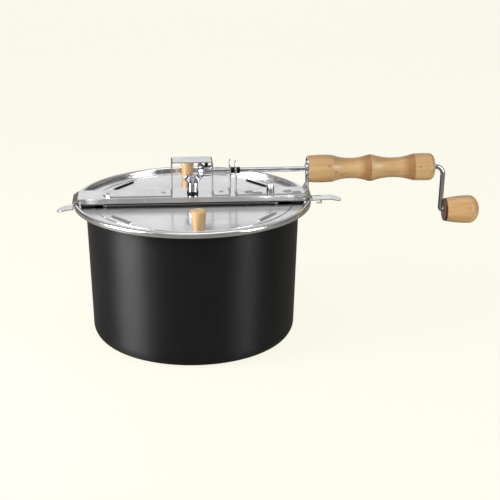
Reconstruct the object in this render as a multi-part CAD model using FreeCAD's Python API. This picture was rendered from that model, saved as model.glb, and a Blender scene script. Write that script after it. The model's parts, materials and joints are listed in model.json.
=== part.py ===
import FreeCAD, Part
import math
import os

# A stovetop popcorn popper: a pot with a crank-driven stirrer in its lid.
# Millimetres. The origin is the centre of the pot's underside, +Z is up and
# +X points along the handle.

Vector = FreeCAD.Vector
to_x = Vector(1, 0, 0)
to_y = Vector(0, 1, 0)
to_z = Vector(0, 0, 1)

# Fits
running_clearance = 0.05
seat_clearance = 0.02
sheet_gap = 0.3
flat_gap = 0.2

# Pot
pot_height = 140.6
pot_taper = 3.7
pot_corner_radius = 15.0
pot_wall = 1.5
pot_roll_radius = 1.5
pot_roll_reach = 4.2

# Lid ring
lid_radius = 120.65
lid_overhang = 12.35
lid_sheet = 0.8
bead_radius = 2.5
bead_lift = 3.4
lip_clearance = 0.6
lip_depth = 4.6
notch_side_gap = 4.5
notch_seat_margin = 0.5

# Crossbar
bar_half_width = 16.0
bar_sheet = 1.0
bar_rise = 9.2
bar_skirt = 5.4
bar_end_gap = 2.65
ear_left_length = 24.3
ear_right_length = 29.0
ear_window_rise = 2.1
ear_window_margin = 0.4
ear_window_curve = 3.5
tongue_overhang = 1.35
tongue_drop = 5.0
tongue_bend_offset = 2.5
ear_round = 2.0

# Brackets, bent from one strip
strip_sheet = 1.0
strip_half_width = 11.25
strip_bend = 1.6
tail_past_ear = 2.3
arch_left = 21.5
arch_right = 20.5
arch_height = 35.4
first_prong = 37.5
first_prong_height = 35.4
second_prong = 43.3
second_prong_height = 33.7
prong_shoulder = 17.0
handle_plate_gap = 3.8
handle_plate_margin = 3.3
handle_plate_round = 9.0
gusset_drop = 2.5
gusset_rise = 5.1
gusset_run = 3.5
gusset_foot = 2.5
twist_tab_length = 19.0
twist_tab_height = 1.2
twist_tab_line = 4.0
twist_tab_fold = 3.2
twist_tab_bead = 0.9
twist_fin_rise = 1.7
twist_tab_shares = (0.118, 0.656)

# Crank
rod_radius = 2.5
crank_axis_rise = 23.3
crank_inner_end = 4.5
crank_leg_gap = 10.3
crank_leg_lean = 1.2
crank_drop = 46.7
crank_bend_radius = 8.0
knob_bend_radius = 3.0
knob_spindle_length = 22.0

# Mitre gears
gear_teeth = 12
gear_pitch_radius = 8.5
gear_toe_radius = 5.6
tooth_share = 0.40
addendum_share = 0.80
dedendum_share = 1.10
crank_hub_radius = 5.65
crank_hub_end = 18.9
stir_hub_radius = 5.4
set_screw_radius = 1.75
crank_screw_place = 14.2
crank_screw_reach = 8.2
stir_screw_rise = 5.0
stir_screw_reach = 6.2
screw_slot_width = 0.6
screw_slot_depth = 0.9

# Stirrer
stir_shaft_radius = 2.5
floor_gap = 0.4
wire_radius = 1.5
wire_cover = 0.8
wire_end_inset = 26.6
wire_sweep = 16.0
wire_tip_across = 28.0
wire_bend_radius = 16.0
bush_flange_radius = 5.9
bush_flange_height = 2.2
bush_body_radius = 4.0
bush_body_depth = 2.0
bush_teeth = 20
bush_tooth_depth = 0.45
clip_ring_radius = 4.4
clip_ring_height = 0.8
clip_ring_mouth = 2.4

# Rod stops and the handle's bush
collar_radius = 3.2
inner_collar_gap = 0.5
inner_collar_length = 3.8
outer_collar_gap = 0.6
outer_collar_length = 3.4
handle_bush_flange_radius = 5.3
handle_bush_flange = 1.5
handle_bush_body_radius = 3.8
handle_bush_depth = 4.0

# Handle: its outline as pairs of distance from the plate and radius
handle_length = 130.7
handle_outline = [
    (0.0, 13.4), (11.8, 14.2), (25.2, 13.7), (43.0, 10.4), (61.5, 13.3), (64.3, 13.7), (67.2, 13.3),
    (handle_length - 42.4, 10.1), (handle_length - 22.9, 13.4), (handle_length - 20.9, 13.8),
    (handle_length - 17.9, 13.95), (handle_length - 12.0, 14.1), (handle_length - 5.2, 13.95),
    (handle_length - 1.6, 12.2), (handle_length, 8.5),
]
handle_bore_radius = 2.85
handle_screw_spread = 8.6
handle_screw_radius = 1.6
handle_screw_length = 13.0
handle_screw_head_radius = 2.7
handle_screw_head = 1.1

# Crank knob
knob_washer_thickness = 0.5
knob_washer_radius = 4.6
knob_face_gap = 0.1
knob_length = 37.3
knob_face_radius = 11.6
knob_belly_radius = 14.5
knob_belly_place = 26.7
knob_end_gap = 0.5
knob_pin_radius = 0.9
knob_pin_place = 14.0
rod_groove_depth = 0.9
rod_groove_half_width = 1.2
knob_pin_inner_end = 4.0
knob_pin_outer_end = 12.8

# Flaps
flap_sheet = 0.8
flap_rim_gap = 2.15
flap_edge_setback = 2.0
flap_rib_inset = 11.5
flap_rib_size = 0.6
hinge_pin_radius = 1.0
hinge_roll_radius = 1.7
hinge_setout = 1.2
hinge_end_gap = 1.0
pin_overhang = 0.5
lug_thickness = 1.0
vent_insets = (21.0, 18.8)
vent_angles = (31.3, 49.5)
vent_hood_radius = 3.4
vent_hood_sink = 1.6

# Flap knobs
flap_knob_inset = 19.5
flap_knob_aside = 2.2
flap_knob_base_radius = 5.7
flap_knob_top_radius = 7.5
flap_knob_height = 18.75
flap_knob_round = 1.2
knob_screw_radius = 1.6
knob_screw_length = 11.0
knob_screw_head_radius = 3.2
knob_screw_head = 1.3

# Lid clips: the left one is pushed in and steps down, the right one is drawn out
clip_sheet = 1.0
clip_half_width = 8.3
clip_tongue_half_width = 4.0
clip_tongue_length = 5.0
clip_bend_radius = 8.0
clip_lift = 0.3
left_hook_gap = 4.9
right_clip_drawn = 15.0
clip_tail = 27.5
clip_tip = 20.6
clip_droop_length = 12.0
clip_droop = 3.0
clip_tip_round = 7.0
right_clip_tilt = 2.5
right_clip_bend_gap = 1.5
left_clip_step = 4.6
left_clip_step_run = 2.6
left_clip_step_place = 1.2
clip_step_bend = 1.2
hook_near = 2.0
hook_far = 6.5
hook_reach = 4.2
hook_gap = 0.5
stop_tab_depth = 3.6

# Fasteners through the crossbar
tail_rivet_inset = 5.2
left_rivet_gap = 8.1
right_rivet_gap = 8.6
rivet_radius = 1.6
rivet_head_radius = 2.6
rivet_head = 0.9
bolt_share = 0.495
bolt_radius = 2.0
bolt_head_flats = 7.0
bolt_head_height = 2.5
nut_flats = 7.0
nut_height = 4.2
nut_dome_radius = 2.9
nut_dome_height = 4.8

# Levels and places that follow from the sizes above
pot_mouth_radius = lid_radius - lid_overhang
pot_foot_radius = pot_mouth_radius - pot_taper
pot_inner_radius = pot_mouth_radius - pot_wall
pot_roll_outer = pot_mouth_radius + pot_roll_reach
seat_top = pot_height + lid_sheet
bead_level = pot_height + bead_lift
bead_centre_radius = lid_radius - bead_radius
bead_inner_radius = bead_centre_radius - bead_radius
lip_outer_radius = pot_inner_radius - lip_clearance
lip_inner_radius = lip_outer_radius - lid_sheet
bar_top = seat_top + bar_rise
bar_under = bar_top - bar_sheet
bar_reach = bead_inner_radius - bar_end_gap
tongue_reach = lid_radius + tongue_overhang
ear_left_inner = bar_reach - ear_left_length
ear_right_inner = bar_reach - ear_right_length
ear_window_end = lip_inner_radius - ear_window_margin
notch_half_width = clip_half_width + notch_side_gap
notch_seat_radius = pot_roll_outer + notch_seat_margin
bracket_floor = bar_top + strip_sheet
crank_level = bar_top + crank_axis_rise
knob_level = crank_level - crank_drop
hinge_level = seat_top + hinge_roll_radius
flap_top = seat_top + flap_sheet
flap_radius = bead_inner_radius - flap_rim_gap
flap_rib_radius = flap_radius - flap_rib_inset
flap_knob_place = flap_radius - flap_knob_inset
hinge_offset = bar_half_width + hinge_setout
flap_edge = hinge_offset + flap_edge_setback
gear_bracket_tail = ear_left_inner + tail_past_ear
handle_plate = bar_reach + handle_plate_gap
handle_plate_height = crank_axis_rise + handle_screw_spread + handle_plate_margin
handle_start = handle_plate + strip_sheet
bolt_place = second_prong + bolt_share * (handle_plate - second_prong)
twist_tab_places = [second_prong + share * (handle_plate - second_prong) for share in twist_tab_shares]
rivet_places = (
    tail_rivet_inset - gear_bracket_tail, -arch_left - left_rivet_gap, arch_right + right_rivet_gap,
)
inner_collar_start = first_prong + strip_sheet + inner_collar_gap
wire_tip_along = pot_foot_radius - wire_end_inset
wire_elbow = wire_tip_along - wire_sweep
clip_level = seat_top + clip_lift
left_hook_place = pot_roll_outer + left_hook_gap
right_hook_place = left_hook_place + right_clip_drawn
crank_leg_top = handle_start + handle_length + crank_leg_gap
shaft_end = pot_wall + floor_gap
wire_level = shaft_end + wire_cover + wire_radius
crank_leg_foot = crank_leg_top - crank_leg_lean
knob_face = crank_leg_foot + knob_bend_radius + knob_washer_thickness + knob_face_gap


def box(x_from, x_to, y_from, y_to, z_from, z_to):
    corner = Vector(min(x_from, x_to), min(y_from, y_to), min(z_from, z_to))
    return Part.makeBox(abs(x_to - x_from), abs(y_to - y_from), abs(z_to - z_from), corner)


def rod(start, direction, length, radius):
    return Part.makeCylinder(radius, length, start, direction)


def extrude(edges, direction):
    return Part.Face(Part.Wire(edges)).extrude(direction)


def polygon(points):
    return Part.makePolygon(list(points) + [points[0]]).Edges


def turned(edges, axis):
    # A closed outline spun once round an axis through the origin.
    return Part.Face(Part.Wire(edges)).revolve(Vector(0, 0, 0), axis, 360)


def arc(start, through, end):
    return Part.Arc(start, through, end).toShape()


def line(start, end):
    return Part.LineSegment(start, end).toShape()


def bent_edges(points, radii):
    # Straight runs through the points, joined by tangent arcs.
    edges = []
    start = points[0]
    for i in range(1, len(points) - 1):
        corner = points[i]
        back = (points[i - 1] - corner).normalize()
        ahead = (points[i + 1] - corner).normalize()
        opening = back.getAngle(ahead)
        reach = radii[i - 1] / math.tan(opening / 2)
        bisector = (back + ahead).normalize()
        middle = corner + bisector * (radii[i - 1] / math.sin(opening / 2) - radii[i - 1])
        enter = corner + back * reach
        leave = corner + ahead * reach
        edges.append(line(start, enter))
        edges.append(arc(enter, middle, leave))
        start = leave
    edges.append(line(start, points[-1]))
    return edges


def bent_rod(points, radii, radius):
    edges = bent_edges(points, radii)
    direction = points[1] - points[0]
    section = Part.Wire(Part.makeCircle(radius, points[0], direction))
    return Part.Wire(edges).makePipeShell([section], True, True)


def bent_strip(points, thickness, bends, half_width):
    # A strip folded along a path in the XZ plane, with its sheet on the
    # path's left side. A bend keeps its inner radius whichever way it turns.
    near = []
    far = []
    near_radii = []
    far_radii = []
    count = len(points)
    for i in range(count):
        x, z = points[i]
        if i in (0, count - 1):
            j = min(i, count - 2)
            along = Vector(points[j + 1][0] - points[j][0], 0, points[j + 1][1] - points[j][1])
            along.normalize()
            side = Vector(-along.z, 0, along.x)
            offset = side * thickness
        else:
            before = Vector(x - points[i - 1][0], 0, z - points[i - 1][1]).normalize()
            after = Vector(points[i + 1][0] - x, 0, points[i + 1][1] - z).normalize()
            side_before = Vector(-before.z, 0, before.x)
            side_after = Vector(-after.z, 0, after.x)
            mitre = (side_before + side_after).normalize()
            offset = mitre * (thickness / mitre.dot(side_before))
            turns_left = before.x * after.z - before.z * after.x > 0
            bend = bends[i - 1]
            near_radii.append(bend + thickness if turns_left else bend)
            far_radii.append(bend if turns_left else bend + thickness)
        near.append(Vector(x, -half_width, z))
        far.append(Vector(x, -half_width, z) + offset)
    edges = bent_edges(near, near_radii)
    edges.append(line(near[-1], far[-1]))
    far.reverse()
    far_radii.reverse()
    edges += bent_edges(far, far_radii)
    edges.append(line(far[-1], near[0]))
    return extrude(Part.__sortEdges__(edges), Vector(0, 2 * half_width, 0))


def hexagon(x, y, z, flats, height):
    corner = flats / math.sqrt(3)
    points = []
    for i in range(6):
        angle = math.radians(60 * i)
        points.append(Vector(x + corner * math.cos(angle), y + corner * math.sin(angle), z))
    return extrude(polygon(points), Vector(0, 0, height))


def mirrored_y(shape):
    return shape.mirror(Vector(0, 0, 0), to_y)


def mirrored_x(shape):
    return shape.mirror(Vector(0, 0, 0), to_x)


def pot_body():
    # Drawn pot: flat floor, rounded corner, slight taper, rim rolled outward.
    foot = pot_foot_radius - pot_corner_radius
    inner_corner = pot_corner_radius - pot_wall
    half = math.sqrt(0.5)
    edges = [
        line(Vector(0, 0, 0), Vector(foot, 0, 0)),
        arc(Vector(foot, 0, 0),
            Vector(foot + pot_corner_radius * half, 0, pot_corner_radius * (1 - half)),
            Vector(pot_foot_radius, 0, pot_corner_radius)),
        line(Vector(pot_foot_radius, 0, pot_corner_radius),
             Vector(pot_mouth_radius, 0, pot_height - 2 * pot_roll_radius)),
        line(Vector(pot_mouth_radius, 0, pot_height - 2 * pot_roll_radius),
             Vector(pot_roll_outer - pot_roll_radius, 0, pot_height - 2 * pot_roll_radius)),
        arc(Vector(pot_roll_outer - pot_roll_radius, 0, pot_height - 2 * pot_roll_radius),
            Vector(pot_roll_outer, 0, pot_height - pot_roll_radius),
            Vector(pot_roll_outer - pot_roll_radius, 0, pot_height)),
        line(Vector(pot_roll_outer - pot_roll_radius, 0, pot_height),
             Vector(pot_mouth_radius, 0, pot_height)),
        arc(Vector(pot_mouth_radius, 0, pot_height),
            Vector(pot_mouth_radius - pot_wall * half, 0, pot_height - pot_wall * (1 - half)),
            Vector(pot_inner_radius, 0, pot_height - pot_wall)),
        line(Vector(pot_inner_radius, 0, pot_height - pot_wall),
             Vector(pot_foot_radius - pot_wall, 0, pot_corner_radius)),
        arc(Vector(pot_foot_radius - pot_wall, 0, pot_corner_radius),
            Vector(foot + inner_corner * half, 0, pot_corner_radius - inner_corner * half),
            Vector(foot, 0, pot_wall)),
        line(Vector(foot, 0, pot_wall), Vector(0, 0, pot_wall)),
        line(Vector(0, 0, pot_wall), Vector(0, 0, 0)),
    ]
    return turned(edges, to_z)


def lid_ring():
    # Sheet rolled into a bead outside, a flat seat, and a lip in the pot's mouth.
    bead_top = bead_level + bead_radius
    sheet_radius = bead_radius - lid_sheet
    skirt = bead_level - bead_radius
    half = math.sqrt(0.5)
    lip_foot = pot_height - lip_depth
    edges = [
        line(Vector(lip_inner_radius, 0, lip_foot), Vector(lip_inner_radius, 0, pot_height)),
        arc(Vector(lip_inner_radius, 0, pot_height),
            Vector(lip_outer_radius - lid_sheet * half, 0, pot_height + lid_sheet * half),
            Vector(lip_outer_radius, 0, seat_top)),
        line(Vector(lip_outer_radius, 0, seat_top), Vector(bead_inner_radius, 0, seat_top)),
        line(Vector(bead_inner_radius, 0, seat_top), Vector(bead_inner_radius, 0, bead_level)),
        arc(Vector(bead_inner_radius, 0, bead_level),
            Vector(bead_centre_radius, 0, bead_top),
            Vector(lid_radius, 0, bead_level)),
        line(Vector(lid_radius, 0, bead_level), Vector(lid_radius, 0, skirt)),
        line(Vector(lid_radius, 0, skirt), Vector(lid_radius - lid_sheet, 0, skirt)),
        line(Vector(lid_radius - lid_sheet, 0, skirt), Vector(lid_radius - lid_sheet, 0, bead_level)),
        arc(Vector(lid_radius - lid_sheet, 0, bead_level),
            Vector(bead_centre_radius, 0, bead_level + sheet_radius),
            Vector(bead_inner_radius + lid_sheet, 0, bead_level)),
        line(Vector(bead_inner_radius + lid_sheet, 0, bead_level),
             Vector(bead_inner_radius + lid_sheet, 0, pot_height)),
        line(Vector(bead_inner_radius + lid_sheet, 0, pot_height),
             Vector(lip_outer_radius, 0, pot_height)),
        line(Vector(lip_outer_radius, 0, pot_height), Vector(lip_outer_radius, 0, lip_foot)),
        line(Vector(lip_outer_radius, 0, lip_foot), Vector(lip_inner_radius, 0, lip_foot)),
    ]
    ring = turned(edges, to_z)
    notch = box(-lid_radius - 1, lid_radius + 1, -notch_half_width, notch_half_width,
                lip_foot - 1, bead_top + 1)
    notch = notch.cut(rod(Vector(0, 0, lip_foot - 2), to_z, bead_top - lip_foot + 4, notch_seat_radius))
    return ring.cut(notch)


def hinge_lug(x_from):
    # A plate across the ear's inner end that holds one end of a hinge pin.
    centre = Vector(x_from, -hinge_offset, hinge_level)
    wall = box(x_from, x_from + lug_thickness, -hinge_offset, bar_sheet - bar_half_width,
               hinge_level - hinge_roll_radius, hinge_level + hinge_roll_radius)
    eye = rod(centre, to_x, lug_thickness, hinge_roll_radius)
    bore = rod(centre, to_x, lug_thickness, hinge_pin_radius + running_clearance)
    return wall.fuse(eye).cut(bore)


def ear_wall(inner):
    # The part of the crossbar's side that reaches the seat, with its arched window.
    round_off = ear_round
    half = math.sqrt(0.5)
    y = -bar_half_width
    window_top = seat_top + ear_window_rise
    edges = [
        line(Vector(inner, y, window_top), Vector(inner, y, bar_top)),
        line(Vector(inner, y, bar_top), Vector(bar_reach, y, bar_top)),
        line(Vector(bar_reach, y, bar_top), Vector(bar_reach, y, seat_top + round_off)),
        arc(Vector(bar_reach, y, seat_top + round_off),
            Vector(bar_reach - round_off * (1 - half), y, seat_top + round_off * (1 - half)),
            Vector(bar_reach - round_off, y, seat_top)),
        line(Vector(bar_reach - round_off, y, seat_top), Vector(ear_window_end, y, seat_top)),
        arc(Vector(ear_window_end, y, seat_top),
            Vector(ear_window_end - ear_window_curve, y, seat_top + 0.7 * ear_window_rise),
            Vector(inner, y, window_top)),
    ]
    return extrude(edges, Vector(0, bar_sheet, 0))


def crossbar():
    # Inverted channel over the lid. Its ears stand on the ring's seat.
    shoulder = bar_reach + tongue_bend_offset
    tongue_x = tongue_reach - bar_sheet
    tongue_z = bar_top - tongue_drop
    plate = bent_strip(
        [(-tongue_x, tongue_z), (-shoulder, bar_under), (shoulder, bar_under), (tongue_x, tongue_z)],
        bar_sheet, [strip_bend, strip_bend], bar_half_width)
    side = box(-ear_left_inner, ear_right_inner, -bar_half_width, bar_sheet - bar_half_width,
               bar_top - bar_skirt, bar_top - bar_sheet / 2)
    side = side.fuse([
        ear_wall(ear_right_inner),
        mirrored_x(ear_wall(ear_left_inner)),
        hinge_lug(ear_right_inner),
        hinge_lug(-ear_left_inner - lug_thickness),
    ])
    bar = plate.fuse([side, mirrored_y(side)])
    for place in twist_tab_places:
        bar = bar.fuse(twist_tab(place))
    holes = [rod(Vector(0, 0, bar_under - 1), to_z, bar_sheet + 2, bush_body_radius + seat_clearance)]
    for place in rivet_places:
        holes.append(rod(Vector(place, 0, bar_under - 1), to_z, bar_sheet + 2, rivet_radius + seat_clearance))
    holes.append(rod(Vector(bolt_place, 0, bar_under - 1), to_z, bar_sheet + 2, bolt_radius + seat_clearance))
    return bar.cut(holes).removeSplitter()


def twist_tab(place):
    # A tab of the crossbar that comes up through the bracket's slot, first as a
    # standing fin and then folded over the bracket.
    neck_from = place + twist_tab_length / 2
    neck_to = place + twist_tab_length - seat_clearance
    back = bar_sheet - twist_tab_line
    top = bracket_floor + twist_tab_height
    neck = box(neck_from, neck_to, -twist_tab_line, back, bar_under, top)
    fold = box(neck_from, neck_to, -twist_tab_line - twist_tab_fold, back,
               bracket_floor + seat_clearance, top)
    bead = rod(Vector(neck_from, -twist_tab_line, top - twist_tab_bead / 3), to_x,
               neck_to - neck_from, twist_tab_bead)
    foot = Vector(place + seat_clearance, -twist_tab_line, bar_under)
    shoulder = Vector(place + seat_clearance, -twist_tab_line, bracket_floor)
    crest = Vector((place + neck_from) / 2, -twist_tab_line, bracket_floor + twist_fin_rise)
    neck_top = Vector(neck_from, -twist_tab_line, top)
    neck_foot = Vector(neck_from, -twist_tab_line, bar_under)
    fin = extrude([
        line(neck_foot, foot), line(foot, shoulder), arc(shoulder, crest, neck_top),
        line(neck_top, neck_foot),
    ], Vector(0, bar_sheet, 0))
    return neck.fuse([fold, bead, fin])


def pointed_top_cut(x_from, top):
    # What is cut away to leave a pointed arch on a prong.
    half_width = strip_half_width
    shoulder = top - prong_shoulder
    sweep = (half_width ** 2 + prong_shoulder ** 2) / (2 * half_width)
    angle = math.asin(prong_shoulder / sweep) / 2
    side_y = half_width - sweep + sweep * math.cos(angle)
    side_z = shoulder + sweep * math.sin(angle)
    arch = extrude([
        line(Vector(x_from, -half_width, shoulder), Vector(x_from, half_width, shoulder)),
        arc(Vector(x_from, half_width, shoulder), Vector(x_from, side_y, side_z), Vector(x_from, 0, top)),
        arc(Vector(x_from, 0, top), Vector(x_from, -side_y, side_z), Vector(x_from, -half_width, shoulder)),
    ], Vector(strip_sheet, 0, 0))
    around = box(x_from, x_from + strip_sheet, -half_width - 1, half_width + 1, shoulder, top + 1)
    return around.cut(arch)


def gear_bracket():
    # One strip: a tail on the crossbar, the arch over the gears, and the first prong.
    arch_top = bar_top + arch_height
    left_face = -(arch_left - strip_sheet)
    right_face = arch_right - strip_sheet
    prong_face = first_prong + strip_sheet
    prong_top = bar_top + first_prong_height
    tail_centre = strip_half_width - gear_bracket_tail
    strip = bent_strip(
        [(tail_centre, bar_top), (left_face, bar_top), (left_face, arch_top - strip_sheet),
         (right_face, arch_top - strip_sheet), (right_face, bar_top), (prong_face, bar_top),
         (prong_face, prong_top)],
        strip_sheet, [strip_bend] * 5, strip_half_width)
    tail = rod(Vector(tail_centre, 0, bar_top), to_z, strip_sheet, strip_half_width)
    strip = strip.fuse(tail).cut(pointed_top_cut(first_prong, prong_top))
    bearing = rod(Vector(0, 0, crank_level), to_x, first_prong + 5, rod_radius + running_clearance)
    holes = [bearing]
    for place in rivet_places:
        holes.append(rod(Vector(place, 0, bar_top - 1), to_z, strip_sheet + 2, rivet_radius + seat_clearance))
    return strip.cut(holes).removeSplitter()


def handle_bracket():
    # One strip: the second prong, a floor on the crossbar, and the handle plate.
    prong_top = bar_top + second_prong_height
    plate_top = bar_top + handle_plate_height
    strip = bent_strip(
        [(second_prong, prong_top), (second_prong, bar_top), (handle_start, bar_top),
         (handle_start, plate_top)],
        strip_sheet, [strip_bend, strip_bend], strip_half_width)
    corner_z = plate_top - handle_plate_round
    corner_y = strip_half_width - handle_plate_round
    for side in (-1, 1):
        around = box(handle_plate, handle_start, side * corner_y, side * (strip_half_width + 1),
                     corner_z, plate_top + 1)
        keep = rod(Vector(handle_plate - 1, side * corner_y, corner_z), to_x, strip_sheet + 2,
                   handle_plate_round)
        strip = strip.cut(around.cut(keep))
    strip = strip.cut(pointed_top_cut(second_prong, prong_top))
    gusset = extrude(polygon([
        Vector(handle_plate - gusset_run, -strip_half_width, bracket_floor - strip_sheet / 2),
        Vector(handle_plate - gusset_run, -strip_half_width, bracket_floor),
        Vector(handle_plate, -strip_half_width, bracket_floor + gusset_rise),
        Vector(handle_start, -strip_half_width, bracket_floor + gusset_rise),
        Vector(handle_start + gusset_foot, -strip_half_width, bar_top - gusset_drop + strip_sheet),
        Vector(handle_start + gusset_foot, -strip_half_width, bar_top - gusset_drop),
        Vector(handle_start, -strip_half_width, bar_top - 0.9 * strip_sheet),
        Vector(handle_plate, -strip_half_width, bar_top),
    ]), Vector(0, strip_sheet, 0))
    strip = strip.fuse([gusset, mirrored_y(gusset)])
    holes = [
        rod(Vector(second_prong - 1, 0, crank_level), to_x, strip_sheet + 2, rod_radius + running_clearance),
        rod(Vector(handle_plate - 1, 0, crank_level), to_x, strip_sheet + 2,
            handle_bush_body_radius + seat_clearance),
        rod(Vector(bolt_place, 0, bar_top - 1), to_z, strip_sheet + 2, bolt_radius + seat_clearance),
    ]
    for side in (-1, 1):
        holes.append(rod(Vector(handle_plate - 1, 0, crank_level + side * handle_screw_spread), to_x,
                         strip_sheet + 2, handle_screw_radius + seat_clearance))
    for place in twist_tab_places:
        holes.append(box(place, place + twist_tab_length, -twist_tab_line - seat_clearance,
                         bar_sheet - twist_tab_line + seat_clearance, bar_top - 1, bracket_floor + 1))
    return strip.cut(holes).removeSplitter()


def bracket_rivets():
    # Domed rivets through the crossbar and the gear bracket.
    rivets = []
    for place in rivet_places:
        shank = rod(Vector(place, 0, bar_under), to_z, bracket_floor - bar_under, rivet_radius)
        dome = domed_head(Vector(place, 0, bracket_floor), to_z, rivet_head_radius, rivet_head)
        foot = domed_head(Vector(place, 0, bar_under), -to_z, rivet_head_radius, rivet_head)
        rivets.append(shank.fuse([dome, foot]))
    return Part.makeCompound(rivets)


def domed_head(base, direction, radius, height):
    # A low dome: the cap of a sphere that meets the base circle.
    ball_radius = (radius ** 2 + height ** 2) / (2 * height)
    centre = base - direction * (ball_radius - height)
    ball = Part.makeSphere(ball_radius, centre)
    return ball.common(rod(base, direction, height + 1, radius + 1))


def bracket_bolt():
    # Hexagonal bolt up through the crossbar and the handle bracket.
    head = hexagon(bolt_place, 0, bar_under - bolt_head_height, bolt_head_flats, bolt_head_height)
    shank = rod(Vector(bolt_place, 0, bar_under), to_z, bracket_floor - bar_under + nut_height, bolt_radius)
    return head.fuse(shank)


def cap_nut():
    # Hexagonal nut with a domed cap, blind bored for the bolt.
    body = hexagon(bolt_place, 0, bracket_floor, nut_flats, nut_height)
    neck_height = nut_dome_height - nut_dome_radius
    neck = rod(Vector(bolt_place, 0, bracket_floor + nut_height), to_z, neck_height, nut_dome_radius)
    dome = Part.makeSphere(nut_dome_radius, Vector(bolt_place, 0, bracket_floor + nut_height + neck_height))
    bore = rod(Vector(bolt_place, 0, bracket_floor), to_z, nut_height + 1, bolt_radius + seat_clearance)
    return body.fuse([neck, dome]).cut(bore)


def crank_shaft():
    # Bent rod: along the handle, down the leg, and out again into the knob.
    spindle_end = knob_face + knob_spindle_length
    shaft = bent_rod(
        [Vector(crank_inner_end, 0, crank_level), Vector(crank_leg_top, 0, crank_level),
         Vector(crank_leg_foot, 0, knob_level), Vector(spindle_end, 0, knob_level)],
        [crank_bend_radius, knob_bend_radius], rod_radius)
    groove_start = Vector(knob_face + knob_pin_place - rod_groove_half_width, 0, knob_level)
    groove = rod(groove_start, to_x, 2 * rod_groove_half_width, rod_radius + 1)
    core = rod(groove_start, to_x, 2 * rod_groove_half_width, rod_radius - rod_groove_depth)
    return shaft.cut(groove.cut(core))


def mitre_gear(hub_radius, hub_end, bore_radius, phase):
    # A gear with its cone's apex at the origin and its hub towards +X. Every
    # tooth is lofted along lines that meet at the apex.
    half = math.sqrt(0.5)
    toe = gear_toe_radius / gear_pitch_radius
    pitch = 2 * math.pi * gear_pitch_radius / gear_teeth
    addendum = addendum_share * pitch / math.pi
    dedendum = dedendum_share * pitch / math.pi
    pitch_half = tooth_share * pitch / 2
    section = [(-dedendum - 0.1, 1.3 * pitch_half), (0, pitch_half), (addendum, 0.5 * pitch_half)]
    section += [(height, -width) for height, width in reversed(section)]
    root_x = gear_pitch_radius + dedendum * half
    root_radius = gear_pitch_radius - dedendum * half
    blank = turned(polygon([
        Vector(root_x * toe, 0, bore_radius),
        Vector(root_x * toe, 0, root_radius * toe),
        Vector(root_x, 0, root_radius),
        Vector(root_x + root_radius - hub_radius, 0, hub_radius),
        Vector(hub_end, 0, hub_radius),
        Vector(hub_end, 0, bore_radius),
    ]), to_x)
    teeth = []
    for i in range(gear_teeth):
        angle = math.radians(phase + 360 / gear_teeth * i)
        radial = Vector(0, math.cos(angle), math.sin(angle))
        across = Vector(0, -math.sin(angle), math.cos(angle))
        ray = (to_x + radial) * gear_pitch_radius
        normal = (radial - to_x) * half
        wires = []
        for scale in (toe, 1):
            corners = [(ray + normal * height + across * width) * scale for height, width in section]
            wires.append(Part.makePolygon(corners + [corners[0]]))
        teeth.append(Part.makeLoft(wires, True, True))
    return blank.fuse(teeth).removeSplitter()


def crank_gear():
    # The upright gear on the crank's inner end, with a tooth pointing down.
    gear = mitre_gear(crank_hub_radius, crank_hub_end, rod_radius + seat_clearance, -90)
    gear.translate(Vector(0, 0, crank_level))
    tapped = rod(Vector(crank_screw_place, 0, crank_level), to_z, crank_screw_reach,
                 set_screw_radius + seat_clearance)
    return gear.cut(tapped)


def crank_gear_screw():
    # Set screw that stands proud of the crank gear's hub.
    screw = rod(Vector(crank_screw_place, 0, crank_level + rod_radius), to_z,
                crank_screw_reach - rod_radius, set_screw_radius)
    slot = box(crank_screw_place - set_screw_radius - 1, crank_screw_place + set_screw_radius + 1,
               -screw_slot_width / 2, screw_slot_width / 2,
               crank_level + crank_screw_reach - screw_slot_depth, crank_level + crank_screw_reach + 1)
    return screw.cut(slot)


def shaft_collars():
    # Stop collars on the crank, between the prongs and beside the second one.
    outer_start = second_prong + strip_sheet + outer_collar_gap
    collars = []
    for start, length in ((inner_collar_start, inner_collar_length), (outer_start, outer_collar_length)):
        collar = rod(Vector(start, 0, crank_level), to_x, length, collar_radius)
        bore = rod(Vector(start - 1, 0, crank_level), to_x, length + 2, rod_radius + seat_clearance)
        collars.append(collar.cut(bore))
    return Part.makeCompound(collars)


def handle_bush():
    # Flanged bush in the handle plate that carries the crank.
    flange = rod(Vector(handle_plate - handle_bush_flange, 0, crank_level), to_x, handle_bush_flange,
                 handle_bush_flange_radius)
    body = rod(Vector(handle_plate, 0, crank_level), to_x, strip_sheet + handle_bush_depth,
               handle_bush_body_radius)
    bore = rod(Vector(handle_plate - handle_bush_flange - 1, 0, crank_level), to_x,
               handle_bush_flange + strip_sheet + handle_bush_depth + 2, rod_radius + running_clearance)
    return flange.fuse(body).cut(bore)


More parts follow.
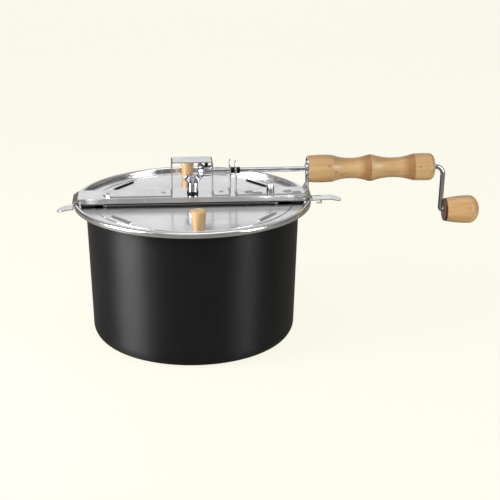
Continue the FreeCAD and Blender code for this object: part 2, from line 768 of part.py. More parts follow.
def handle_grip():
    # Turned handle: a barrel, two coves with a ring between them, and a round end.
    def point(along, radius):
        return Vector(handle_start + along, 0, radius)
    (start, first_belly, first_edge, first_neck, ring_left, ring_crest, ring_right, second_neck,
     second_edge, second_shoulder, second_barrel, second_belly, end_edge, end_round, end_flat) = [
        point(along, radius) for along, radius in handle_outline]
    axis_start = point(0, handle_bore_radius)
    axis_end = point(handle_length, handle_bore_radius)
    edges = [
        line(axis_start, start),
        arc(start, first_belly, first_edge),
        arc(first_edge, first_neck, ring_left),
        arc(ring_left, ring_crest, ring_right),
        arc(ring_right, second_neck, second_edge),
        arc(second_edge, second_shoulder, second_barrel),
        arc(second_barrel, second_belly, end_edge),
        arc(end_edge, end_round, end_flat),
        line(end_flat, axis_end),
        line(axis_end, axis_start),
    ]
    grip = turned(edges, to_x)
    grip.translate(Vector(0, 0, crank_level))
    sinks = [rod(Vector(handle_start, 0, crank_level), to_x, handle_bush_depth + sheet_gap,
                 handle_bush_body_radius + seat_clearance)]
    for side in (-1, 1):
        sinks.append(rod(Vector(handle_start, 0, crank_level + side * handle_screw_spread), to_x,
                         handle_screw_length - strip_sheet + sheet_gap, handle_screw_radius + seat_clearance))
    return grip.cut(sinks)


def handle_screws():
    # Two screws through the handle plate into the wood.
    screws = []
    for side in (-1, 1):
        level = crank_level + side * handle_screw_spread
        shank = rod(Vector(handle_plate, 0, level), to_x, handle_screw_length, handle_screw_radius)
        head = domed_head(Vector(handle_plate, 0, level), -to_x, handle_screw_head_radius,
                          handle_screw_head)
        screws.append(shank.fuse(head))
    return Part.makeCompound(screws)


def knob_washer():
    # Thin washer between the crank's lower bend and the knob.
    start = Vector(knob_face - knob_face_gap - knob_washer_thickness, 0, knob_level)
    disc = rod(start, to_x, knob_washer_thickness, knob_washer_radius)
    return disc.cut(rod(start, to_x, knob_washer_thickness, rod_radius + running_clearance))


def crank_knob():
    # Turned knob, widest near its rounded outer end, with a blind bore.
    def point(along, radius):
        return Vector(knob_face + along, 0, radius)
    dome_length = knob_length - knob_belly_place
    turns = [math.radians(15 * i) for i in range(7)]
    dome_curve = Part.BSplineCurve()
    dome_curve.interpolate(
        Points=[point(knob_belly_place + dome_length * math.sin(turn), knob_belly_radius * math.cos(turn))
                for turn in turns],
        InitialTangent=to_x, FinalTangent=-to_z)
    dome = dome_curve.toShape()
    side_bulge = (knob_belly_radius - knob_face_radius) * 0.75
    edges = [
        line(point(0, 0), point(0, knob_face_radius)),
        arc(point(0, knob_face_radius), point(knob_belly_place / 2, knob_face_radius + side_bulge),
            point(knob_belly_place, knob_belly_radius)),
        dome,
        line(point(knob_length, 0), point(0, 0)),
    ]
    knob = turned(edges, to_x)
    knob.translate(Vector(0, 0, knob_level))
    bore = rod(Vector(knob_face, 0, knob_level), to_x, knob_spindle_length + knob_end_gap,
               rod_radius + running_clearance)
    return knob.cut([bore, knob_pin_solid(seat_clearance)])


def knob_pin_solid(clearance):
    # The pin lies beside the rod's groove and enters the knob from the rear.
    level = knob_level + rod_radius - rod_groove_depth + 2 * running_clearance + knob_pin_radius
    start = Vector(knob_face + knob_pin_place, -knob_pin_inner_end, level)
    return rod(start, to_y, knob_pin_inner_end + knob_pin_outer_end, knob_pin_radius + clearance)


def knob_pin():
    return knob_pin_solid(0)


def stir_shaft():
    # Upright shaft from the gears down to the floor, cross drilled for the wire.
    top = crank_level - gear_toe_radius
    shaft = rod(Vector(0, 0, shaft_end), to_z, top - shaft_end, stir_shaft_radius)
    hole = rod(Vector(-stir_shaft_radius - 1, 0, wire_level), to_x, 2 * stir_shaft_radius + 2,
               wire_radius + seat_clearance)
    return shaft.cut(hole)


def stir_gear():
    # The level gear on the stir shaft, half a tooth round so that the teeth mesh.
    hub_end = crank_level - bar_top - bush_flange_height - flat_gap
    gear = mitre_gear(stir_hub_radius, hub_end, stir_shaft_radius + seat_clearance,
                      180 / gear_teeth - 90)
    gear.rotate(Vector(0, 0, 0), to_y, 90)
    gear.translate(Vector(0, 0, crank_level))
    return gear.cut(stir_screw_solid(seat_clearance))


def stir_screw_solid(clearance):
    level = bar_top + bush_flange_height + stir_screw_rise
    return rod(Vector(0, stir_shaft_radius, level), to_y, stir_screw_reach - stir_shaft_radius,
               set_screw_radius + clearance)


def stir_gear_screw():
    # Set screw in the stir gear's hub, on the side away from the viewer.
    return stir_screw_solid(0)


def stir_bush():
    # Flanged bush in the crossbar with a notched edge for gripping.
    flange = rod(Vector(0, 0, bar_top), to_z, bush_flange_height, bush_flange_radius)
    notches = []
    for i in range(bush_teeth):
        angle = 2 * math.pi * i / bush_teeth
        place = Vector(bush_flange_radius * math.cos(angle), bush_flange_radius * math.sin(angle), bar_top)
        notches.append(rod(place, to_z, bush_flange_height, bush_tooth_depth))
    body = rod(Vector(0, 0, bar_under - bush_body_depth), to_z, bar_top - bar_under + bush_body_depth,
               bush_body_radius)
    bore = rod(Vector(0, 0, bar_under - bush_body_depth - 1), to_z,
               bar_top - bar_under + bush_body_depth + bush_flange_height + 2,
               stir_shaft_radius + running_clearance)
    return flange.cut(notches).fuse(body).cut(bore)


def stir_shaft_clip():
    # Open spring ring on the shaft, just below the bush.
    level = bar_under - bush_body_depth - flat_gap - clip_ring_height
    ring = rod(Vector(0, 0, level), to_z, clip_ring_height, clip_ring_radius)
    bore = rod(Vector(0, 0, level), to_z, clip_ring_height, stir_shaft_radius + seat_clearance)
    mouth = box(0, clip_ring_radius + 1, -clip_ring_mouth / 2, clip_ring_mouth / 2,
                level, level + clip_ring_height)
    return ring.cut([bore, mouth])


def stirrer_wire():
    # One wire through the shaft, with both ends swept back along the wall.
    tip = Vector(wire_tip_along, wire_tip_across, wire_level)
    elbow = Vector(wire_elbow, 0, wire_level)
    return bent_rod([Vector(-tip.x, -tip.y, wire_level), Vector(-elbow.x, 0, wire_level), elbow, tip],
                    [wire_bend_radius, wire_bend_radius], wire_radius)


def vent_form(side, radius, floor):
    # A bar with ball ends, sunk in the flap, kept on the rim's side of the slit and above the floor.
    ends = []
    for inset, angle in zip(vent_insets, vent_angles):
        reach = flap_radius - inset
        turn = math.radians(angle)
        ends.append(Vector(side * reach * math.cos(turn), -reach * math.sin(turn), flap_top - vent_hood_sink))
    start, end = ends
    along = end - start
    outward = Vector(along.y, -along.x, 0).normalize()
    if outward.dot(start) < 0:
        outward = outward * -1
    outward = outward * (2 * radius)
    form = rod(start, along, along.Length, radius)
    form = form.fuse([Part.makeSphere(radius, place) for place in ends])
    before = start - along
    after = end + along
    outline = (before, after, after + outward, before + outward)
    corners = [Vector(place.x, place.y, floor) for place in outline]
    return form.common(extrude(polygon(corners), to_z * (2 * radius)))


def front_flap(knob_x):
    # Half-round flap with a raised rib, two hooded vents that open towards the
    # crossbar, and its edge rolled round the hinge pin.
    roll_from = hinge_end_gap - ear_left_inner
    roll_to = ear_right_inner - hinge_end_gap
    disc = rod(Vector(0, 0, seat_top), to_z, flap_sheet, flap_radius)
    rib = Part.makeTorus(flap_rib_radius, flap_rib_size, Vector(0, 0, flap_top))
    half_disc = disc.fuse(rib).common(
        box(-lid_radius, lid_radius, -lid_radius, -flap_edge, seat_top - 1, flap_top + 2))
    leaf = box(roll_from, roll_to, -flap_edge - 1, -hinge_offset, seat_top, flap_top)
    roll = rod(Vector(roll_from, -hinge_offset, hinge_level), to_x, roll_to - roll_from,
               hinge_roll_radius)
    bore = rod(Vector(roll_from - 1, -hinge_offset, hinge_level), to_x, roll_to - roll_from + 2,
               hinge_pin_radius + running_clearance)
    screw_hole = rod(Vector(knob_x, -flap_knob_place, seat_top - 1), to_z, flap_sheet + 3,
                     knob_screw_radius + seat_clearance)
    hoods = [vent_form(side, vent_hood_radius, seat_top) for side in (-1, 1)]
    hollows = [vent_form(side, vent_hood_radius - flap_sheet, seat_top - 1) for side in (-1, 1)]
    flap = half_disc.fuse([leaf, roll] + hoods)
    return flap.cut([bore, screw_hole] + hollows).removeSplitter()


def front_hinge_pin():
    # Straight pin between the crossbar's lugs.
    start = -ear_left_inner - lug_thickness - pin_overhang
    end = ear_right_inner + lug_thickness + pin_overhang
    return rod(Vector(start, -hinge_offset, hinge_level), to_x, end - start, hinge_pin_radius)


def front_flap_knob(knob_x):
    # Turned knob, wider at the top, with its edge rounded over.
    top = flap_knob_height
    side = flap_knob_top_radius - (flap_knob_top_radius - flap_knob_base_radius) * flap_knob_round / top
    half = math.sqrt(0.5)
    edges = [
        line(Vector(0, 0, 0), Vector(flap_knob_base_radius, 0, 0)),
        line(Vector(flap_knob_base_radius, 0, 0), Vector(side, 0, top - flap_knob_round)),
        arc(Vector(side, 0, top - flap_knob_round),
            Vector(side - flap_knob_round * (1 - half), 0, top - flap_knob_round * (1 - half)),
            Vector(side - flap_knob_round, 0, top)),
        line(Vector(side - flap_knob_round, 0, top), Vector(0, 0, top)),
        line(Vector(0, 0, top), Vector(0, 0, 0)),
    ]
    knob = turned(edges, to_z)
    knob.translate(Vector(knob_x, -flap_knob_place, flap_top))
    bore = rod(Vector(knob_x, -flap_knob_place, flap_top), to_z,
               knob_screw_length - flap_sheet + sheet_gap, knob_screw_radius + seat_clearance)
    return knob.cut(bore)


def front_knob_screw(knob_x):
    # Screw up through the flap into the knob.
    foot = Vector(knob_x, -flap_knob_place, seat_top)
    shank = rod(foot, to_z, knob_screw_length, knob_screw_radius)
    head = domed_head(foot, -to_z, knob_screw_head_radius, knob_screw_head)
    return shank.fuse(head)


def lid_clip(hook_place, turns, bends, tilt):
    # A thumb tab that slides under the crossbar and turns at the given places.
    # Its inner end is turned down as a stop, and a hook cut from the sheet
    # reaches under the pot's rolled rim.
    slope = math.tan(math.radians(tilt))
    turn_place, turn_level = turns[-1]
    inner = hook_place - clip_tail - clip_sheet
    tip = hook_place + clip_tip
    droop_start = tip - clip_droop_length
    droop_level = turn_level + slope * (droop_start - turn_place)
    tip_level = droop_level + slope * clip_droop_length - clip_droop
    path = [(inner, clip_level)] + turns + [(droop_start, droop_level), (tip, tip_level)]
    blade = bent_strip(path, clip_sheet, bends + [clip_bend_radius], clip_half_width)
    round_centre = tip - clip_tip_round
    low = clip_level - 2 * clip_tip
    high = clip_level + 2 * clip_tip
    outline = box(inner + clip_tongue_length, round_centre, -clip_half_width, clip_half_width,
                  low, high)
    outline = outline.fuse([
        box(inner, inner + clip_tongue_length, -clip_tongue_half_width, clip_tongue_half_width,
            low, high),
        box(round_centre, tip + 1, clip_tip_round - clip_half_width, clip_half_width - clip_tip_round,
            low, high),
        rod(Vector(round_centre, clip_tip_round - clip_half_width, low), to_z, high - low, clip_tip_round),
        rod(Vector(round_centre, clip_half_width - clip_tip_round, low), to_z, high - low, clip_tip_round),
    ])
    hook_level = pot_height - 2 * pot_roll_radius - hook_gap - clip_sheet
    leg_top = clip_level + slope * max(0, hook_place - turn_place) + clip_sheet / 2
    window_length = hook_reach + leg_top - hook_level
    window = box(hook_place - window_length, hook_place, hook_near - sheet_gap, hook_far + sheet_gap,
                 low, high)
    leg = box(hook_place, hook_place + clip_sheet, hook_near, hook_far, hook_level, leg_top)
    toe = box(hook_place - hook_reach, hook_place + clip_sheet, hook_near, hook_far,
              hook_level, hook_level + clip_sheet)
    stop_tab = box(inner, inner + clip_sheet, -clip_tongue_half_width, clip_tongue_half_width,
                   clip_level - stop_tab_depth, clip_level + clip_sheet / 2)
    return blade.common(outline).cut(window).fuse([leg, toe, stop_tab]).removeSplitter()


def right_lid_clip():
    turn = (bar_reach + right_clip_bend_gap, clip_level)
    return lid_clip(right_hook_place, [turn], [clip_bend_radius], right_clip_tilt)


def left_lid_clip():
    crest = left_hook_place + left_clip_step_place
    turns = [(crest, clip_level), (crest + left_clip_step_run, clip_level - left_clip_step)]
    clip = lid_clip(left_hook_place, turns, [clip_step_bend, clip_step_bend], 0)
    clip.rotate(Vector(0, 0, 0), to_z, 180)
    return clip


pieces = {
    "pot_body": pot_body(),
    "lid_ring": lid_ring(),
    "crossbar": crossbar(),
    "gear_bracket": gear_bracket(),
    "handle_bracket": handle_bracket(),
    "bracket_rivets": bracket_rivets(),
    "bracket_bolt": bracket_bolt(),
    "cap_nut": cap_nut(),
    "crank_shaft": crank_shaft(),
    "crank_gear": crank_gear(),
    "crank_gear_screw": crank_gear_screw(),
    "shaft_collars": shaft_collars(),
    "handle_bush": handle_bush(),
    "handle_grip": handle_grip(),
    "handle_screws": handle_screws(),
    "crank_knob": crank_knob(),
    "knob_washer": knob_washer(),
    "knob_pin": knob_pin(),
    "stir_shaft": stir_shaft(),
    "stir_gear": stir_gear(),
    "stir_gear_screw": stir_gear_screw(),
    "stir_bush": stir_bush(),
    "stir_shaft_clip": stir_shaft_clip(),
    "stirrer_wire": stirrer_wire(),
    "front_flap": front_flap(flap_knob_aside),
    "rear_flap": mirrored_y(front_flap(-flap_knob_aside)),
    "front_hinge_pin": front_hinge_pin(),
    "rear_hinge_pin": mirrored_y(front_hinge_pin()),
    "front_flap_knob": front_flap_knob(flap_knob_aside),
    "rear_flap_knob": mirrored_y(front_flap_knob(-flap_knob_aside)),
    "front_knob_screw": front_knob_screw(flap_knob_aside),
    "rear_knob_screw": mirrored_y(front_knob_screw(-flap_knob_aside)),
    "left_lid_clip": left_lid_clip(),
    "right_lid_clip": right_lid_clip(),
}

os.makedirs("parts", exist_ok=True)
for name, shape in pieces.items():
    shape.exportStep("parts/" + name + ".step")
    print(name, len(shape.Solids), shape.isValid(), round(shape.Volume, 1))
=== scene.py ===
import json
import math

import bmesh
import bpy
from mathutils import Matrix, Vector


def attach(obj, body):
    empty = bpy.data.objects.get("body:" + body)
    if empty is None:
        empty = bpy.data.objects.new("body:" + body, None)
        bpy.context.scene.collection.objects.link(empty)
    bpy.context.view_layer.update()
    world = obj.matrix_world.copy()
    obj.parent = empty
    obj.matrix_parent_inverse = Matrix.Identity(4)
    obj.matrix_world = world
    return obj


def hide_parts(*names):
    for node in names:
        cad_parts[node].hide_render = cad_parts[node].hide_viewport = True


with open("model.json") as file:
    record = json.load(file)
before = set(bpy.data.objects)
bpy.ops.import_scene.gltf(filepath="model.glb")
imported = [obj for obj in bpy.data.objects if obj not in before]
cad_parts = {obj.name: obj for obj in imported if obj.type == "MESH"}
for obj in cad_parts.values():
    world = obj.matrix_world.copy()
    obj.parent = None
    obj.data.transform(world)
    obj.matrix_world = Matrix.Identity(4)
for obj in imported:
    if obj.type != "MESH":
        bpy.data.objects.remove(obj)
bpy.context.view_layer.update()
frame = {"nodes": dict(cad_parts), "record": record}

nodes = frame["nodes"]
print("frame loaded:", len(nodes), "nodes")


# shared helpers

def mm(value):  # millimetres to metres
    return value / 1000


def pieceFrom(mesh, name, body, material, replaced=()):  # hangs a finished bmesh on its body
    data = bpy.data.meshes.new(name)
    mesh.to_mesh(data)
    mesh.free()
    piece = bpy.data.objects.new(name, data)
    bpy.context.scene.collection.objects.link(piece)
    piece.data.materials.append(material)
    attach(piece, body)
    if replaced:
        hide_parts(*replaced)
    return piece


def smoothByAngle(mesh, angle):  # smooth faces, with edges sharper than the angle kept crisp
    for face in mesh.faces:
        face.smooth = True
    for edge in mesh.edges:
        if len(edge.link_faces) == 2:
            edge.smooth = edge.calc_face_angle(0) < math.radians(angle)


def largeFacesLead(data, angle):  # corner normals that follow the larger faces, so flat sheet stays flat
    around = {}
    for face in data.polygons:
        for vertex in face.vertices:
            around.setdefault(vertex, []).append(face)
    limit = math.cos(math.radians(angle))
    normals = []
    for face in data.polygons:
        for vertex in face.vertices:
            total = Vector()
            for other in around[vertex]:
                if other.normal.dot(face.normal) > limit:
                    total += other.normal * other.area
            normals.append(total.normalized())
    data.normals_split_custom_set(normals)


softSettings = {"weld": 2e-6, "flatWithin": 0.6, "roundBeyond": 35, "smoothWithin": 40, "segments": 2}


def softened(node, body, material, width, values):  # the node again, with its sharp edges rounded
    mesh = bmesh.new()
    mesh.from_mesh(nodes[node].data)
    bmesh.ops.remove_doubles(mesh, verts=mesh.verts, dist=values["weld"])
    bmesh.ops.dissolve_limit(mesh, angle_limit=math.radians(values["flatWithin"]), verts=mesh.verts,
                             edges=mesh.edges, use_dissolve_boundaries=False)
    limit = math.radians(values["roundBeyond"])
    sharp = [edge for edge in mesh.edges if len(edge.link_faces) == 2 and edge.calc_face_angle(0) > limit]
    bmesh.ops.bevel(mesh, geom=sharp, offset=width, offset_type="OFFSET", segments=values["segments"],
                    profile=0.5, affect="EDGES", clamp_overlap=True, material=-1)
    smoothByAngle(mesh, values["smoothWithin"])
    piece = pieceFrom(mesh, node + "_soft", body, material, (node,))
    largeFacesLead(piece.data, values["smoothWithin"])
    return piece


# camera at the photograph's viewing angle

cameraSet = {
    "azimuth": 5.182, "elevation": 18.802, "roll": 0.335, "distance": 1.3386,
    "target": (0.070, 0.0, 0.090), "lens": 92.62, "shift": (-0.0213, -0.0050),
}


def addCamera(values):
    data = bpy.data.cameras.new("photoCamera")
    data.sensor_fit = "HORIZONTAL"
    data.sensor_width = 36
    data.lens = values["lens"]
    data.shift_x, data.shift_y = values["shift"]
    data.clip_end = 60
    turn = math.radians(values["azimuth"])
    tilt = math.radians(values["elevation"])
    roll = math.radians(values["roll"])
    ahead = Vector((math.sin(turn) * math.cos(tilt), math.cos(turn) * math.cos(tilt), -math.sin(tilt)))
    level = Vector((math.cos(turn), -math.sin(turn), 0))
    upright = level.cross(ahead)
    right = level * math.cos(roll) + upright * math.sin(roll)
    up = right.cross(ahead)
    place = Vector(values["target"]) - ahead * values["distance"]
    camera = bpy.data.objects.new("photoCamera", data)
    camera.matrix_world = Matrix.Translation(place) @ Matrix((right, up, -ahead)).transposed().to_4x4()
    bpy.context.scene.collection.objects.link(camera)
    bpy.context.scene.camera = camera


addCamera(cameraSet)
print("camera set")


# floor, world and lamps

stageSet = {
    "floorSize": 24.0, "floorColor": (0.90, 0.885, 0.80), "floorGlow": 0.92, "mirrorGlow": 0.20,
    "glowColor": (1.0, 0.98, 0.87), "worldColor": (1.0, 0.99, 0.97), "worldStrength": (0.13, 0.50),
    "worldRise": (0.3, 0.9),
}
lampSet = [
    {"name": "leftBox", "place": (-0.86, -0.30, 0.42), "size": (0.50, 0.80), "power": 17},
    {"name": "rightBox", "place": (0.86, -0.62, 0.42), "size": (0.34, 0.80), "power": 5},
    {"name": "topBox", "place": (0.2, -0.3, 2.2), "size": (1.7, 1.0), "power": 8},
    {"name": "backBox", "place": (-0.2, 2.9, 1.2), "size": (3.2, 1.1), "power": 8},
    {"name": "frontBox", "place": (-0.3, -3.0, 1.15), "size": (2.6, 0.7), "power": 2.4},
]
lampTarget = Vector((0.05, 0.0, 0.09))


def addStage(values):
    mesh = bmesh.new()
    bmesh.ops.create_grid(mesh, x_segments=1, y_segments=1, size=values["floorSize"] / 2)
    data = bpy.data.meshes.new("floor")
    mesh.to_mesh(data)
    mesh.free()
    floor = bpy.data.objects.new("floor", data)
    bpy.context.scene.collection.objects.link(floor)
    paint = bpy.data.materials.new("floorPaint")
    paint.use_nodes = True
    tree = paint.node_tree
    tree.nodes.clear()
    out = tree.nodes.new("ShaderNodeOutputMaterial")
    mix = tree.nodes.new("ShaderNodeMixShader")
    diffuse = tree.nodes.new("ShaderNodeBsdfDiffuse")
    glow = tree.nodes.new("ShaderNodeEmission")
    ray = tree.nodes.new("ShaderNodeLightPath")
    seen = tree.nodes.new("ShaderNodeMath")
    share = tree.nodes.new("ShaderNodeMath")
    level = tree.nodes.new("ShaderNodeMath")
    diffuse.inputs["Color"].default_value = (*values["floorColor"], 1)
    glow.inputs["Color"].default_value = (*values["glowColor"], 1)
    seen.operation = "ADD"  # by the camera, or by way of bright metal
    tree.links.new(ray.outputs["Is Camera Ray"], seen.inputs[0])
    tree.links.new(ray.outputs["Is Glossy Ray"], seen.inputs[1])
    share.operation = "MULTIPLY"
    share.inputs[1].default_value = values["floorGlow"]
    tree.links.new(seen.outputs[0], share.inputs[0])
    level.operation = "MULTIPLY_ADD"
    level.inputs[1].default_value = 1 - values["mirrorGlow"]
    level.inputs[2].default_value = values["mirrorGlow"]
    tree.links.new(ray.outputs["Is Camera Ray"], level.inputs[0])
    tree.links.new(level.outputs[0], glow.inputs["Strength"])
    tree.links.new(share.outputs[0], mix.inputs["Fac"])
    tree.links.new(diffuse.outputs[0], mix.inputs[1])
    tree.links.new(glow.outputs[0], mix.inputs[2])
    tree.links.new(mix.outputs[0], out.inputs["Surface"])
    floor.data.materials.append(paint)
    world = bpy.data.worlds.new("studio")
    world.use_nodes = True
    sky = world.node_tree.nodes["Background"]
    sky.inputs["Color"].default_value = (*values["worldColor"], 1)
    place = world.node_tree.nodes.new("ShaderNodeTexCoord")
    parts = world.node_tree.nodes.new("ShaderNodeSeparateXYZ")
    level = world.node_tree.nodes.new("ShaderNodeMapRange")  # dim at the horizon, brighter overhead
    level.inputs["From Min"].default_value, level.inputs["From Max"].default_value = values["worldRise"]
    level.inputs["To Min"].default_value, level.inputs["To Max"].default_value = values["worldStrength"]
    world.node_tree.links.new(place.outputs["Generated"], parts.inputs[0])
    world.node_tree.links.new(parts.outputs["Z"], level.inputs["Value"])
    world.node_tree.links.new(level.outputs[0], sky.inputs["Strength"])
    bpy.context.scene.world = world


def addLamps(lamps, target):
    for lamp in lamps:
        data = bpy.data.lights.new(lamp["name"], "AREA")
        data.shape = "RECTANGLE"
        data.size, data.size_y = lamp["size"]
        data.energy = lamp["power"]
        thing = bpy.data.objects.new(lamp["name"], data)
        thing.visible_camera = False
        place = Vector(lamp["place"])
        facing = (place - target).to_track_quat("Z", "Y").to_matrix().to_4x4()
        thing.matrix_world = Matrix.Translation(place) @ facing
        bpy.context.scene.collection.objects.link(thing)


addStage(stageSet)
addLamps(lampSet, lampTarget)
bpy.context.scene.view_settings.view_transform = "Standard"
print("stage set")


# materials

def addNode(tree, kind, links=(), **settings):  # a node, its settings, and (input, socket or value) pairs
    node = tree.nodes.new(kind)
    for name, value in settings.items():
        setattr(node, name, value)
    for name, value in links:
        if isinstance(value, bpy.types.NodeSocket):
            tree.links.new(value, node.inputs[name])
        else:
            node.inputs[name].default_value = value
    return node


def mixedColor(tree, factor, first, second, blend="MIX"):  # the colour sockets of a Mix node go by number
    node = addNode(tree, "ShaderNodeMix", [(0, factor), (6, first), (7, second)], data_type="RGBA",
                   blend_type=blend)
    return node.outputs[2]


def newGroup(name, inputs, outputs):
    group = bpy.data.node_groups.new(name, "ShaderNodeTree")
    for label, kind, value in inputs:
        socket = group.interface.new_socket(name=label, in_out="INPUT", socket_type=kind)
        socket.default_value = value
    for label, kind in outputs:
        group.interface.new_socket(name=label, in_out="OUTPUT", socket_type=kind)
    start = group.nodes.new("NodeGroupInput")
    end = group.nodes.new("NodeGroupOutput")
    return group, start, end


def streakGroup():  # long fine scratches one way and broad smudges
    group, start, end = newGroup(
        "rollingStreaks",
        [("Stretch", "NodeSocketVector", (1, 1, 1)), ("Smudge Scale", "NodeSocketFloat", 20)],
        [("Streak", "NodeSocketFloat"), ("Smudge", "NodeSocketFloat")])
    place = addNode(group, "ShaderNodeTexCoord").outputs["Object"]
    stretched = addNode(group, "ShaderNodeVectorMath", [(0, place), (1, start.outputs["Stretch"])],
                        operation="MULTIPLY").outputs[0]
    fine = addNode(group, "ShaderNodeTexNoise", [("Vector", stretched), ("Scale", 1), ("Detail", 4)])
    broad = addNode(group, "ShaderNodeTexNoise", [("Vector", place), ("Scale", start.outputs["Smudge Scale"]),
                                                  ("Detail", 3), ("Roughness", 0.6)])
    group.links.new(fine.outputs["Fac"], end.inputs["Streak"])
    group.links.new(broad.outputs["Fac"], end.inputs["Smudge"])
    return group


def woodGroup():  # growth rings pulled out along the grain, with fine fibres
    group, start, end = newGroup(
        "turnedWood",
        [("Stretch", "NodeSocketVector", (8, 90, 90)), ("Light", "NodeSocketColor", (0.8, 0.6, 0.4, 1)),
         ("Dark", "NodeSocketColor", (0.5, 0.3, 0.15, 1))],
        [("Color", "NodeSocketColor"), ("Height", "NodeSocketFloat")])
    place = addNode(group, "ShaderNodeTexCoord").outputs["Object"]
    stretched = addNode(group, "ShaderNodeVectorMath", [(0, place), (1, start.outputs["Stretch"])],
                        operation="MULTIPLY").outputs[0]
    figure = addNode(group, "ShaderNodeTexNoise", [("Vector", stretched), ("Scale", 1), ("Detail", 5),
                                                   ("Roughness", 0.62), ("Distortion", 0.6)])
    finer = addNode(group, "ShaderNodeVectorMath", [(0, stretched), ("Scale", 6.5)],
                    operation="SCALE").outputs[0]
    fibre = addNode(group, "ShaderNodeTexNoise", [("Vector", finer), ("Scale", 1), ("Detail", 3)])
    contrast = addNode(group, "ShaderNodeMapRange", [("Value", figure.outputs["Fac"]), ("From Min", 0.36),
                                                     ("From Max", 0.74)]).outputs[0]
    lines = addNode(group, "ShaderNodeMapRange", [("Value", fibre.outputs["Fac"]), ("From Min", 0.42),
                                                  ("From Max", 0.75), ("To Max", 0.22)]).outputs[0]
    both = addNode(group, "ShaderNodeMath", [(0, contrast), (1, lines)], operation="ADD",
                   use_clamp=True).outputs[0]
    color = mixedColor(group, both, start.outputs["Light"], start.outputs["Dark"])
    group.links.new(color, end.inputs["Color"])
    group.links.new(both, end.inputs["Height"])
    return group


streaks = streakGroup()
turnedWood = woodGroup()


def newMaterial(name, plain):  # a material with one Principled shader and its plain values
    material = bpy.data.materials.new(name)
    material.use_nodes = True
    shader = material.node_tree.nodes["Principled BSDF"]
    for label, value in plain.items():
        shader.inputs[label].default_value = value
    return material, material.node_tree, shader


def placed(tree, group, values):  # a node group in a material, with its own values
    node = addNode(tree, "ShaderNodeGroup", node_tree=group)
    for label, value in values.items():
        node.inputs[label].default_value = value
    return node


def ranged(tree, value, low, high, fromLow=0.3, fromHigh=0.7):
    ends = [("From Min", fromLow), ("From Max", fromHigh), ("To Min", low), ("To Max", high)]
    return addNode(tree, "ShaderNodeMapRange", [("Value", value)] + ends).outputs[0]


metalFinishes = {
    "lidMetal": {"color": (0.86, 0.86, 0.86, 1), "shade": (0.76, 0.765, 0.78, 1), "stretch": (14, 600, 600),
                 "smudge": 22, "rough": (0.13, 0.25), "bump": 0.015,
                 # painted shade along the hinge rolls: its colour, the hinge line's distance from the middle
                 # and height, and the distances where the shade is full and where it ends
                 "groove": ((0.10, 0.095, 0.09, 1), 0.0172, 0.1431, 0.0019, 0.0027)},
    "bracketMetal": {"color": (0.80, 0.805, 0.81, 1), "shade": (0.70, 0.71, 0.72, 1),
                     "stretch": (30, 500, 30), "smudge": 45, "rough": (0.10, 0.22), "bump": 0.02},
    "rodChrome": {"color": (0.62, 0.62, 0.64, 1), "shade": (0.48, 0.48, 0.50, 1), "stretch": (40, 500, 500),
                  "smudge": 60, "rough": (0.05, 0.12), "bump": 0.01},
    "gearMetal": {"color": (0.74, 0.75, 0.77, 1), "shade": (0.46, 0.44, 0.50, 1), "stretch": (300, 300, 300),
                  "smudge": 160, "rough": (0.12, 0.28), "bump": 0.03},
    "blackSteel": {"color": (0.012, 0.012, 0.014, 1), "shade": (0.03, 0.03, 0.034, 1),
                   "stretch": (200, 200, 200), "smudge": 120, "rough": (0.30, 0.45), "bump": 0.03},
}


def metalMaterial(name, values):
    material, tree, shader = newMaterial(name, {"Metallic": 1.0})
    marks = placed(tree, streaks, {"Stretch": values["stretch"], "Smudge Scale": values["smudge"]})
    color = mixedColor(tree, ranged(tree, marks.outputs["Smudge"], 0, 1), values["color"], values["shade"])
    both = addNode(tree, "ShaderNodeMath", [(0, marks.outputs["Streak"]), (1, marks.outputs["Smudge"])],
                   operation="ADD").outputs[0]
    if "groove" in values:  # painted shade: coloured darker along the hinge lines, which lie in shade
        dark, across, height, near, far = values["groove"]
        place = addNode(tree, "ShaderNodeTexCoord").outputs["Object"]
        parts = addNode(tree, "ShaderNodeSeparateXYZ", [(0, place)])
        aside = addNode(tree, "ShaderNodeMath", [(0, parts.outputs["Y"])], operation="ABSOLUTE").outputs[0]
        spot = addNode(tree, "ShaderNodeCombineXYZ", [("Y", aside), ("Z", parts.outputs["Z"])]).outputs[0]
        away = addNode(tree, "ShaderNodeVectorMath", [(0, spot), (1, (0, across, height))],
                       operation="DISTANCE")
        color = mixedColor(tree, ranged(tree, away.outputs["Value"], 1, 0, near, far), color, dark)
    tree.links.new(color, shader.inputs["Base Color"])
    tree.links.new(ranged(tree, both, *values["rough"], 0.7, 1.3), shader.inputs["Roughness"])
    bump = addNode(tree, "ShaderNodeBump", [("Height", marks.outputs["Streak"]), ("Strength", values["bump"]),
                                            ("Distance", 0.0005)])
    tree.links.new(bump.outputs[0], shader.inputs["Normal"])
    return material


potFinish = {
    "black": (0.0022, 0.0024, 0.0030, 1), "worn": (0.0046, 0.0049, 0.0058, 1), "grainScale": 900,
    "rough": (0.44, 0.52), "bump": 0.05, "specular": 0.38, "anisotropic": 0.85, "turned": 0.25,
}


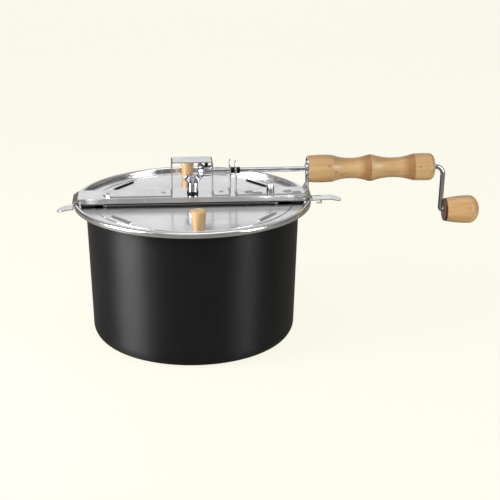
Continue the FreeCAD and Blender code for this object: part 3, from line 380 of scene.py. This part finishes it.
def potMaterial(values):  # a satin black coating over drawn metal, a little greyer where it is handled
    material, tree, shader = newMaterial("potCoating", {
        "Metallic": 0.0, "Specular IOR Level": values["specular"], "Anisotropic": values["anisotropic"],
        "Anisotropic Rotation": values["turned"]})
    marks = placed(tree, streaks, {"Stretch": (60, 60, 12), "Smudge Scale": 14})
    place = addNode(tree, "ShaderNodeTexCoord").outputs["Object"]
    grain = addNode(tree, "ShaderNodeTexNoise", [("Vector", place), ("Scale", values["grainScale"]),
                                                 ("Detail", 2)]).outputs["Fac"]
    color = mixedColor(tree, ranged(tree, marks.outputs["Smudge"], 0, 1), values["black"], values["worn"])
    tree.links.new(color, shader.inputs["Base Color"])
    tree.links.new(ranged(tree, marks.outputs["Streak"], *values["rough"]), shader.inputs["Roughness"])
    bump = addNode(tree, "ShaderNodeBump", [("Height", grain), ("Strength", values["bump"]),
                                            ("Distance", 0.0002)])
    tree.links.new(bump.outputs[0], shader.inputs["Normal"])
    drawn = addNode(tree, "ShaderNodeTangent", direction_type="RADIAL", axis="Z")
    tree.links.new(drawn.outputs[0], shader.inputs["Tangent"])
    return material


woodFinishes = {
    "handleWood": {"light": (0.53, 0.345, 0.160, 1), "dark": (0.35, 0.190, 0.070, 1),
                   # stainAndShade darkens the knots, which are real stain, and the bands, which on the handle
                   # are painted shade mixed with stain
                   "stainAndShade": (0.24, 0.105, 0.030, 1), "stretch": (7, 95, 95),
                   "bands": [(0.169, 0.1818, 0.80), (0.2135, 0.2272, 0.80)],
                   "knots": [(0.1385, -0.0118, 0.1792, 0.0016), (0.1452, -0.0125, 0.1736, 0.0011),
                             (0.1515, -0.0100, 0.1690, 0.0009), (0.2320, -0.0128, 0.1772, 0.0012)]},
    "crankKnobWood": {"light": (0.56, 0.355, 0.155, 1), "dark": (0.38, 0.200, 0.072, 1),
                      "stainAndShade": (0.040, 0.014, 0.006, 1), "stretch": (9, 85, 85),
                      # this band darkens the knob's whole end face
                      "bands": [(0.2590, 0.2634, 1.0)], "knots": []},
    "flapKnobWood": {"light": (0.62, 0.41, 0.205, 1), "dark": (0.45, 0.25, 0.105, 1),
                     "stainAndShade": (0.34, 0.145, 0.045, 1), "stretch": (120, 120, 14), "bands": [], "knots": []},
}


woodMarks = {"bandRise": 0.6, "bandEdge": 0.0006, "knotDepth": 0.85, "knotCore": 0.3, "knotReach": 1.6}


def woodMaterial(name, values, marks):
    material, tree, shader = newMaterial(name, {"Coat Weight": 0.35, "Coat Roughness": 0.18,
                                                "Specular IOR Level": 0.45})
    wood = placed(tree, turnedWood, {"Stretch": values["stretch"], "Light": values["light"],
                                     "Dark": values["dark"]})
    color = wood.outputs["Color"]
    place = addNode(tree, "ShaderNodeTexCoord").outputs["Object"]
    along = addNode(tree, "ShaderNodeSeparateXYZ", [(0, place)]).outputs["X"]
    for start, end, depth in values["bands"]:  # a darker ring that grows along the axis and stops at a line; on the handle it is painted shade beside the turned grooves, mixed with stain, and on the crank knob it darkens the end face
        rise = ranged(tree, along, 0.0, depth, start, start + marks["bandRise"] * (end - start))
        stop = ranged(tree, along, 1.0, 0.0, end, end + marks["bandEdge"])
        mask = addNode(tree, "ShaderNodeMath", [(0, rise), (1, stop)], operation="MULTIPLY").outputs[0]
        color = mixedColor(tree, mask, color, values["stainAndShade"])
    for x, y, z, size in values["knots"]:
        reach = addNode(tree, "ShaderNodeVectorMath", [(0, place), (1, (x, y, z))], operation="DISTANCE")
        spot = ranged(tree, reach.outputs["Value"], marks["knotDepth"], 0.0, marks["knotCore"] * size,
                      marks["knotReach"] * size)
        color = mixedColor(tree, spot, color, values["stainAndShade"])
    tree.links.new(color, shader.inputs["Base Color"])
    tree.links.new(ranged(tree, wood.outputs["Height"], 0.34, 0.50, 0.0, 1.0), shader.inputs["Roughness"])
    bump = addNode(tree, "ShaderNodeBump", [("Height", wood.outputs["Height"]), ("Strength", 0.10),
                                            ("Distance", 0.0003)])
    tree.links.new(bump.outputs[0], shader.inputs["Normal"])
    return material


finishes = {name: metalMaterial(name, values) for name, values in metalFinishes.items()}
finishes.update({name: woodMaterial(name, values, woodMarks) for name, values in woodFinishes.items()})
finishes["potCoating"] = potMaterial(potFinish)

slotFinishes = {
    "pot_coating": "potCoating", "lid_metal": "lidMetal", "bracket_metal": "bracketMetal",
    "rod_chrome": "rodChrome", "gear_metal": "gearMetal", "black_steel": "blackSteel",
    "handle_wood": "handleWood", "crank_knob_wood": "crankKnobWood", "flap_knob_wood": "flapKnobWood",
}
nodeSlots = {entry["node"]: entry["material_slot"] for entry in frame["record"]["subparts"]}
for node, thing in nodes.items():
    for slot in thing.material_slots:
        slot.material = finishes[slotFinishes[nodeSlots[node]]]
print("materials given to", len(nodes), "nodes")

# pieces that take the place of CAD nodes: pressed sheet and screws with softened edges

softEdges = {
    "crossbar": ("lid", "lid_metal", "lidMetal", 0.25),
    "gear_bracket": ("lid", "bracket_metal", "bracketMetal", 0.22),
    "handle_bracket": ("lid", "bracket_metal", "bracketMetal", 0.22),
    "cap_nut": ("lid", "rod_chrome", "rodChrome", 0.25),
    "left_lid_clip": ("left_clip", "lid_metal", "lidMetal", 0.22),
    "right_lid_clip": ("right_clip", "lid_metal", "lidMetal", 0.22),
}
for node, (body, slot, material, width) in softEdges.items():
    softened(node, body, finishes[material], mm(width), softSettings)
print("soft edges on", len(softEdges), "nodes")
